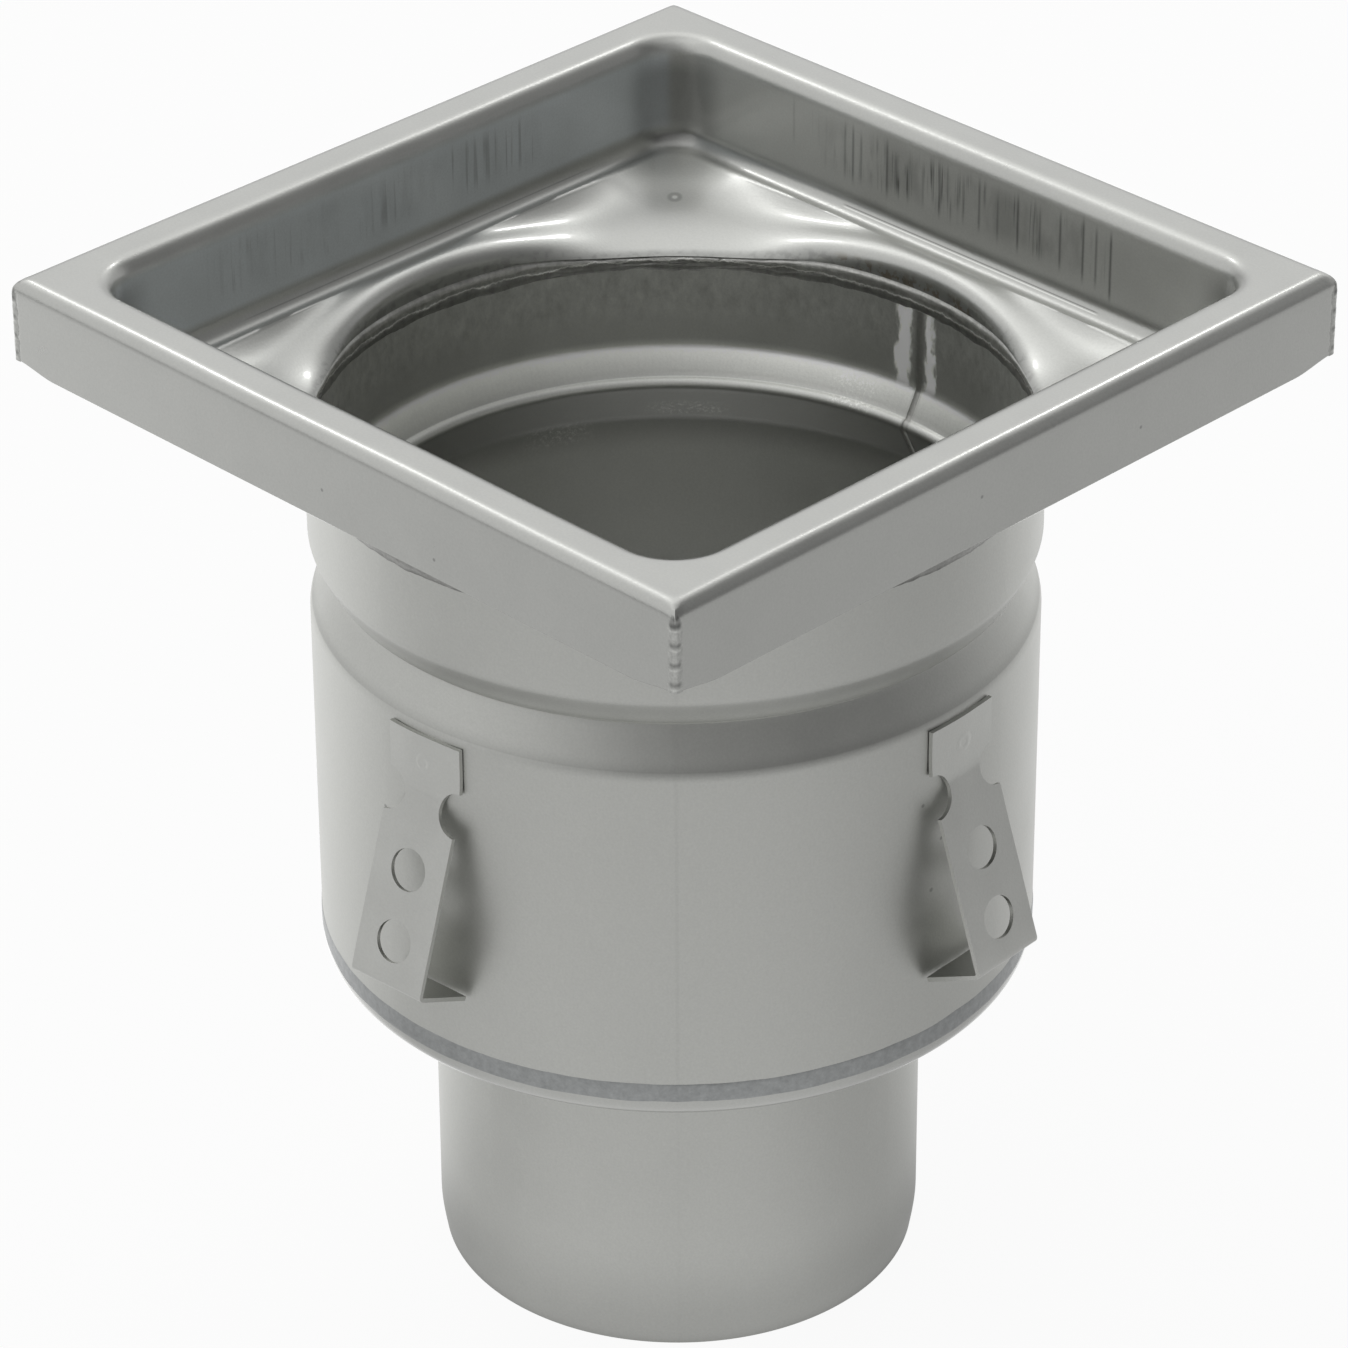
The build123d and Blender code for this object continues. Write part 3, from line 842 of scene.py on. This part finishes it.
def tray_material():
    steel = Steel("pressed_stainless", (0.495, 0.5, 0.478), 0.3)
    plain_grain(steel)
    # The recess walls are duller and lifted with painted light, the funnel a trace duller, and all has a smooth
    # sheen on top
    reach = steel.math("MAXIMUM", steel.math("ABSOLUTE", steel.x), steel.math("ABSOLUTE", steel.y))
    wall = steel.mul(steel.band(steel.d, 3.5, 22.5, 1.5), steel.span(reach, 89.6, 88.8))
    steel.roughen(steel.mul(wall, 0.27))
    drawn = steel.mul(steel.band(steel.d, 26.9, 40.0, 0.4), steel.span(reach, 85.0, 82.0))
    steel.roughen(steel.mul(drawn, 0.04))
    steel.shader.inputs["Coat Weight"].default_value = 1.0
    steel.shader.inputs["Coat Roughness"].default_value = 0.1
    # Painted light on the recess walls
    steel.shade(0.3, wall)
    # Scuffed walls: strongest on the one toward +Y, bluish and fainter on the one toward -X
    far_wall = steel.mul(wall, steel.span(steel.y, 84.0, 86.0))
    left_wall = steel.mul(wall, steel.span(steel.x, -84.0, -86.0))
    right_wall = steel.mul(wall, steel.span(steel.x, 84.0, 86.0))
    drawing_streaks(steel, steel.x, far_wall, -38.0, 42.0, 0.6, 1)
    drawing_streaks(steel, steel.y, left_wall, -50.0, 50.0, 0.24, 2)
    drawing_streaks(steel, steel.y, right_wall, -30.0, 30.0, 0.3, 3)
    for place, top, bottom, dark in SCUFFS:
        mark = steel.mul(steel.band(steel.x, place - 0.3, place + 0.3, 0.3), steel.band(steel.d, top, bottom, 2.2))
        steel.shade(-dark, mark, far_wall)
    # Painted shade in the upright corners, painted light on the floor before them and painted shade at the foot
    # between the two
    plan = steel.plan()
    corner = steel.mul(steel.span(plan, 158.0, 170.0), steel.span(reach, 89.0, 87.9))
    steel.shade(-0.45, corner, steel.band(steel.d, 6.0, 23.0, 3.5))
    painted_light_ledge = steel.mul(steel.span(plan, 138.0, 150.0), steel.span(plan, 165.0, 163.0))
    steel.shade(0.42, painted_light_ledge, steel.span(steel.d, 26.5, 27.2))
    steel.shade(-0.5, steel.span(plan, 163.0, 167.0), steel.band(steel.d, 23.5, 27.5, 1.2))
    # The press tool left a fine double line along the foot of the far wall and a faint one on the left; on the far
    # wall its light half is a painted highlight
    foot = steel.mul(steel.span(steel.y, 84.8, 85.6), steel.band(steel.x, -32.0, 44.0, 1.0))
    foot_left = steel.mul(steel.span(steel.x, -84.8, -85.6), steel.band(steel.y, -45.0, 58.0, 6.0))
    steel.shade(-0.5, steel.band(steel.d, 25.05, 25.25, 0.08), foot)
    steel.shade(0.6, steel.band(steel.d, 25.4, 25.6, 0.08), foot)
    steel.shade(-0.3, steel.band(steel.d, 25.1, 25.3, 0.1), foot_left)
    # A small dent in the corner floor, drawn as a ring of painted shade round a painted highlight, and pin marks
    # on two skirts
    away = steel.hypot(steel.add(steel.x, 70.0), steel.add(steel.y, -70.1))
    on_floor = steel.span(steel.d, 25.0, 26.0)
    steel.shade(-0.3, steel.band(away, 0.7, 1.7, 0.4), on_floor)
    steel.shade(0.3, steel.span(away, 0.8, 0.4), on_floor)
    front_left, front_right = steel.span(steel.y, -99.4, -99.7), steel.span(steel.x, 99.4, 99.7)
    for face, along, place, depth in ((front_left, steel.x, 31.5, 16.6), (front_left, steel.x, -1.8, 13.5),
                                      (front_right, steel.y, -12.1, 10.3), (front_right, steel.y, 36.7, 13.1)):
        steel.shade(-0.4, steel.dot(along, place, depth, 0.55), face)
    # Scorched flecks in the heat zone beside the throat weld
    edge = steel.mul(steel.span(steel.hypot(steel.x, steel.y), 81.5, 79.4), steel.band(steel.d, 31.0, 45.0, 1.5))
    steel.shade(-0.22, edge)
    steel.shade(-0.2, edge, steel.span(steel.noise(2.2, 3.0), 0.5, 0.62))
    steel.roughen(steel.mul(edge, 0.15))
    brown = steel.mul(edge, steel.band(steel.x, -24.0, 16.0, 3.0), steel.span(steel.y, 70.0, 72.0),
                      steel.span(steel.noise(2.0, 2.0), 0.5, 0.56))
    # Painted light makes the wall toward -X a little paler
    steel.shade(0.25, left_wall)
    scorched, bluish = (0.3, 0.245, 0.16), (0.49, 0.52, 0.54)
    return steel.done([(scorched, steel.mul(brown, 0.6)), (bluish, steel.mul(left_wall, 0.8))])


def tube_material():
    steel = Steel("rolled_stainless", (0.575, 0.58, 0.555), 0.45)
    plain_grain(steel)
    # The radius as if the groove were filled up tells the inside of the wall from the outside
    radius = steel.hypot(steel.x, steel.y)
    crease_depth, groove_depth, groove_slope = 66.6, 5.0, 0.56
    off_crease = steel.math("ABSOLUTE", steel.add(steel.d, -crease_depth))
    dip = steel.math("MAXIMUM", steel.add(steel.mul(off_crease, -groove_slope), groove_depth), 0.0)
    level_radius = steel.add(radius, dip)
    inside = steel.mul(steel.span(level_radius, 79.65, 79.3), steel.span(radius, 60.0, 65.0))
    outside = steel.span(level_radius, 79.35, 79.7)
    # Outside, the roll above the groove has painted shade and its lip a thin painted highlight
    steel.shade(-0.14, outside, steel.band(steel.d, 58.8, 62.5, 1.6))
    steel.shade(0.5, outside, steel.band(steel.d, 65.8, 66.1, 0.12))
    # Painted light makes the inside of the tube a little lighter
    steel.shade(0.08, inside)
    # Pale smears and a dark line beside the seam on the inside of the neck
    turn = steel.mul(steel.math("ARCTAN2", steel.y, steel.x), 180 / math.pi)
    wide = steel.add(turn, steel.swing(steel.noise(3.0, 4.0, (1, 1, 2)), 4.0))
    near_seam = steel.mul(inside, steel.band(steel.d, 38.0, 58.0, 2.0))
    smear = steel.mul(near_seam, steel.add(steel.band(wide, 92.6, 95.8, 0.4), steel.band(wide, 87.9, 89.4, 0.4)))
    steel.shade(0.7, smear)
    steel.roughen(steel.mul(smear, 0.3))
    steel.shade(-0.25, inside, steel.band(turn, 90.1, 91.9, 0.3))
    # Under the bead the wall is darkened with painted shade
    under = steel.mul(steel.span(steel.d, 65.6, 66.8), steel.span(steel.d, 86.0, 75.0))
    steel.shade(-0.42, inside, under)
    # Blotches where the weld's heat reached the neck
    heat = steel.mul(inside, steel.band(steel.d, 36.0, 50.0, 5.0))
    blotch = steel.noise(2.6, 5.0, (1, 1, 1.6), 0.7)
    steel.shade(0.9, heat, steel.add(blotch, -0.45))
    # Pin marks down the outside of the tube, placed in degrees round it
    along = steel.mul(turn, math.radians(BODY_R))
    for place, depth, size in ((-96.1, 101.5, 0.7), (-4.2, 95.6, 0.6), (-0.1, 106.1, 0.6), (-2.1, 118.0, 0.7)):
        steel.shade(-0.35, steel.dot(along, place * math.radians(BODY_R), depth, size), outside)
    # A worn patch on the bead and two chalky smudges below it
    worn = steel.mul(steel.band(turn, 99.0, 107.0, 2.0), steel.band(steel.d, 60.0, 66.0, 1.5))
    chalk = steel.mul(steel.band(turn, 150.0, 160.0, 3.0), steel.band(steel.d, 76.5, 81.0, 1.5))
    more_chalk = steel.mul(steel.band(turn, 127.0, 139.0, 3.0), steel.band(steel.d, 71.5, 75.5, 1.0))
    patches = steel.mul(inside, steel.add(worn, steel.add(chalk, more_chalk)))
    steel.shade(0.8, patches, steel.span(steel.noise(0.9, 5.0, roughness=0.75), 0.45, 0.75))
    # The upper flank of the bead inside has painted light, and the outlet's lower end painted shade
    steel.shade(0.85, inside, steel.band(steel.d, BEAD_START, 64.0, 1.6))
    steel.shade(-0.2, steel.span(steel.d, 215.0, 240.0))
    return steel.done()


def weld_material(name, colour, roughness):
    steel = Steel(name, colour, roughness)
    plain_grain(steel, 1.6)
    weld_lumps(steel, 1.6, 3.0, 0.5, 1.2)
    return steel.done()


def corner_weld_material():
    # Dark edges of the pools and painted highlights along their light edges, darker over the fold
    steel = Steel("corner_weld_stainless", (0.5, 0.505, 0.485), 0.36)
    plain_grain(steel, 1.4)
    middle = steel.span(steel.plan(), FRAME_HALF * 2 - 1.9, FRAME_HALF * 2 - 0.9)
    pool = steel.math("FRACT", steel.add(steel.mul(steel.d, 1 / POOL), 0.2))
    steel.shade(-0.45, middle, steel.band(pool, 0.1, 0.3, 0.12))
    steel.shade(0.25, middle, steel.band(pool, 0.42, 0.5, 0.06))
    steel.shade(-0.35, middle, steel.band(steel.d, 2.0, 5.0, 0.6))
    weld_lumps(steel, 1.1, 3.0, 0.5, 1.0)
    return steel.done()


def throat_weld_material():
    # A ragged painted highlight along the weld with painted shade on the metal below it
    steel = Steel("throat_weld_stainless", (0.5, 0.5, 0.48), 0.4)
    plain_grain(steel, 2.0)
    level = steel.add(steel.d, steel.swing(steel.noise(5.0, 4.0, (1, 1, 3), 0.65), 2.6))
    steel.shade(0.8, steel.band(level, 36.3, 36.6, 0.15))
    steel.shade(-0.35, steel.span(level, 36.5, 37.0))
    weld_lumps(steel, 1.8, 4.0, 0.9, 2.0)
    return steel.done()


def tab_material():
    steel = Steel("tab_stainless", (0.61, 0.615, 0.59), 0.36)
    plain_grain(steel, 0.8)
    return steel.done()


# The pieces

tray_steel = tray_material()
tube_steel = tube_material()
weld_steel = weld_material("weld_stainless", (0.42, 0.42, 0.4), 0.42)
ground_steel = weld_material("ground_weld_stainless", (0.36, 0.37, 0.37), 0.4)
tab_steel = tab_material()
corner_steel = corner_weld_material()

make_tray(tray_steel)
make_body(tube_steel)
make_body_seam(weld_steel)
make_throat_weld(throat_weld_material())
make_base_weld(ground_steel)
make_base_cap(tray_steel)
make_outlet(tube_steel)
make_outlet_seam(tube_steel)
make_outlet_weld(weld_steel)
for corner in range(1, 5):
    make_corner_weld(corner, corner_steel)
for tab in range(1, 5):
    make_tab(tab, tab_steel)
    make_spot(tab, tab_steel)

# Camera at the photograph's viewpoint: angles, then millimetres, then the focal length in pixels
TURN = math.radians(45.1)
PITCH = math.radians(30.7255)
ROLL = math.radians(-0.2934)
DISTANCE = 1349.845
AIM = (-0.493, -98.771)
FOCAL_PIXELS = 6112.14
PHOTO_PIXELS = 1348.0
SENSOR = 36.0


def to_row(x, y, z):
    # From the photograph's axes, with y away from the camera, to the model's
    return Vector((x * math.cos(TURN) - y * math.sin(TURN), x * math.sin(TURN) + y * math.cos(TURN), z))


def toward(azimuth, elevation):
    # Azimuth in the photograph's sense: 0 is right, 90 is away from the camera
    a, e = math.radians(azimuth), math.radians(elevation)
    return to_row(math.cos(a) * math.cos(e), math.sin(a) * math.cos(e), math.sin(e))


def make_camera():
    forward = Vector((0, math.cos(PITCH), -math.sin(PITCH)))
    level_right = Vector((1, 0, 0))
    level_up = Vector((0, math.sin(PITCH), math.cos(PITCH)))
    right = level_right * math.cos(ROLL) + level_up * math.sin(ROLL)
    up = level_up * math.cos(ROLL) - level_right * math.sin(ROLL)
    eye = to_row(*(Vector((AIM[0], 0, AIM[1])) - forward * DISTANCE))
    data = bpy.data.cameras.new("camera")
    data.sensor_width = SENSOR
    data.lens = FOCAL_PIXELS * SENSOR / PHOTO_PIXELS
    data.clip_start = 0.05
    data.clip_end = 30.0
    camera = bpy.data.objects.new("camera", data)
    bpy.context.scene.collection.objects.link(camera)
    matrix = camera.matrix_world.copy()
    for column, axis in enumerate((right, up, -forward)):
        for row, number in enumerate(to_row(*axis)):
            matrix[row][column] = number
    for row, number in enumerate((eye.x, eye.y, eye.z + TOP)):
        matrix[row][3] = number * MM
    camera.matrix_world = matrix
    bpy.context.scene.camera = camera


# Floor, world and lamps

# Azimuth, elevation, width and strength of each soft light, then the level of the room
SOFT_LIGHTS = ((92, 42, 52, 0.93), (-174, 27, 72, 0.85), (35, 8, 45, 0.5), (110, 85, 50, 0.5), (-95, 50, 45, 0.3))
ROOM = 0.25
# The same for the patches of floor that mirrored rays see
FLOOR_LIGHTS = ((-100, 0, 80, 0.2), (100, 0, 106, 0.78))
FLOOR_LEVEL = 0.57
# Name, azimuth, elevation, distance in metres, size in metres and power in watts
LAMPS = (("lamp_right", 60, 45.4, 1.6, 0.1, 0.7), ("lamp_left", 130.5, 47.2, 1.6, 0.1, 0.65))
LAMP_CENTRE = Vector((0, 0, 0.2))


def light_ways(tree):
    # 1 for the rays that see the backdrop straight or through glass, and 1 for mirrored rays
    path = tree.nodes.new("ShaderNodeLightPath").outputs
    return math_node(tree, "MAXIMUM", path["Is Camera Ray"], path["Is Transmission Ray"]), path["Is Glossy Ray"]


def soft_sides(tree, direction, lights, total):
    # Adds broad soft patches of light, each brightest in one direction, to a plain level
    for azimuth, elevation, width, strength in lights:
        dot = vector_node(tree, "DOT_PRODUCT", direction)
        dot.inputs[1].default_value = toward(azimuth, elevation)
        fade = map_range(tree, dot.outputs["Value"], math.cos(math.radians(width)), 1.0, 0.0, strength)
        total = math_node(tree, "ADD", fade, total)
    return total


def mirrored_strength(tree):
    # How bright mirrored rays see the floor: dimmer far out, and where the outlet pipe closes it in
    place = tree.nodes.new("ShaderNodeTexCoord").outputs["Object"]
    direction = vector_node(tree, "NORMALIZE", place).outputs[0]
    strength = soft_sides(tree, direction, FLOOR_LIGHTS, FLOOR_LEVEL)
    away = vector_node(tree, "LENGTH", place).outputs["Value"]
    far_out = map_range(tree, away, 0.6, 3.0, 1.0, 0.45)
    in_pipe = map_range(tree, away, 0.052, 0.056, 0.6, 1.0, "LINEAR")
    return math_node(tree, "MULTIPLY", math_node(tree, "MULTIPLY", strength, far_out), in_pipe)


def make_floor():
    # White where it is seen straight, but for the object's shadow
    half = 12.0
    mesh = bpy.data.meshes.new("floor")
    mesh.from_pydata([(-half, -half, 0), (half, -half, 0), (half, half, 0), (-half, half, 0)], [], [(0, 1, 2, 3)])
    floor = bpy.data.objects.new("floor", mesh)
    bpy.context.scene.collection.objects.link(floor)
    material = bpy.data.materials.new("floor_white")
    material.use_nodes = True
    tree = material.node_tree
    tree.nodes.clear()
    straight, mirrored = light_ways(tree)
    diffuse = tree.nodes.new("ShaderNodeBsdfDiffuse")
    diffuse.inputs["Color"].default_value = (0.8, 0.8, 0.8, 1)
    glow = tree.nodes.new("ShaderNodeEmission")
    amount = math_node(tree, "MULTIPLY", straight, 0.93)
    seen = mix_shaders(tree, amount, diffuse.outputs[0], glow.outputs[0])
    mirror = tree.nodes.new("ShaderNodeEmission")
    tree.links.new(mirrored_strength(tree), mirror.inputs["Strength"])
    out = tree.nodes.new("ShaderNodeOutputMaterial")
    tree.links.new(mix_shaders(tree, mirrored, seen, mirror.outputs[0]), out.inputs[0])
    mesh.materials.append(material)


def make_world():
    # A dim room with broad soft lights, white where it is seen straight
    world = bpy.data.worlds.new("studio")
    bpy.context.scene.world = world
    world.use_nodes = True
    tree = world.node_tree
    tree.nodes.clear()
    direction = tree.nodes.new("ShaderNodeTexCoord").outputs["Generated"]
    room = tree.nodes.new("ShaderNodeBackground")
    tree.links.new(soft_sides(tree, direction, SOFT_LIGHTS, ROOM), room.inputs["Strength"])
    white = tree.nodes.new("ShaderNodeBackground")
    out = tree.nodes.new("ShaderNodeOutputWorld")
    tree.links.new(mix_shaders(tree, light_ways(tree)[0], room.outputs[0], white.outputs[0]), out.inputs[0])


def area_lamp(name, azimuth, elevation, distance, size, power):
    direction = toward(azimuth, elevation)
    data = bpy.data.lights.new(name, "AREA")
    data.shape = "DISK"
    data.size = size
    data.energy = power
    lamp = bpy.data.objects.new(name, data)
    lamp.location = direction * distance + LAMP_CENTRE
    lamp.rotation_euler = (-direction).to_track_quat("-Z", "Y").to_euler()
    bpy.context.scene.collection.objects.link(lamp)


make_camera()
make_floor()
make_world()
for lamp_values in LAMPS:
    area_lamp(*lamp_values)
bpy.context.scene.view_settings.view_transform = "Standard"
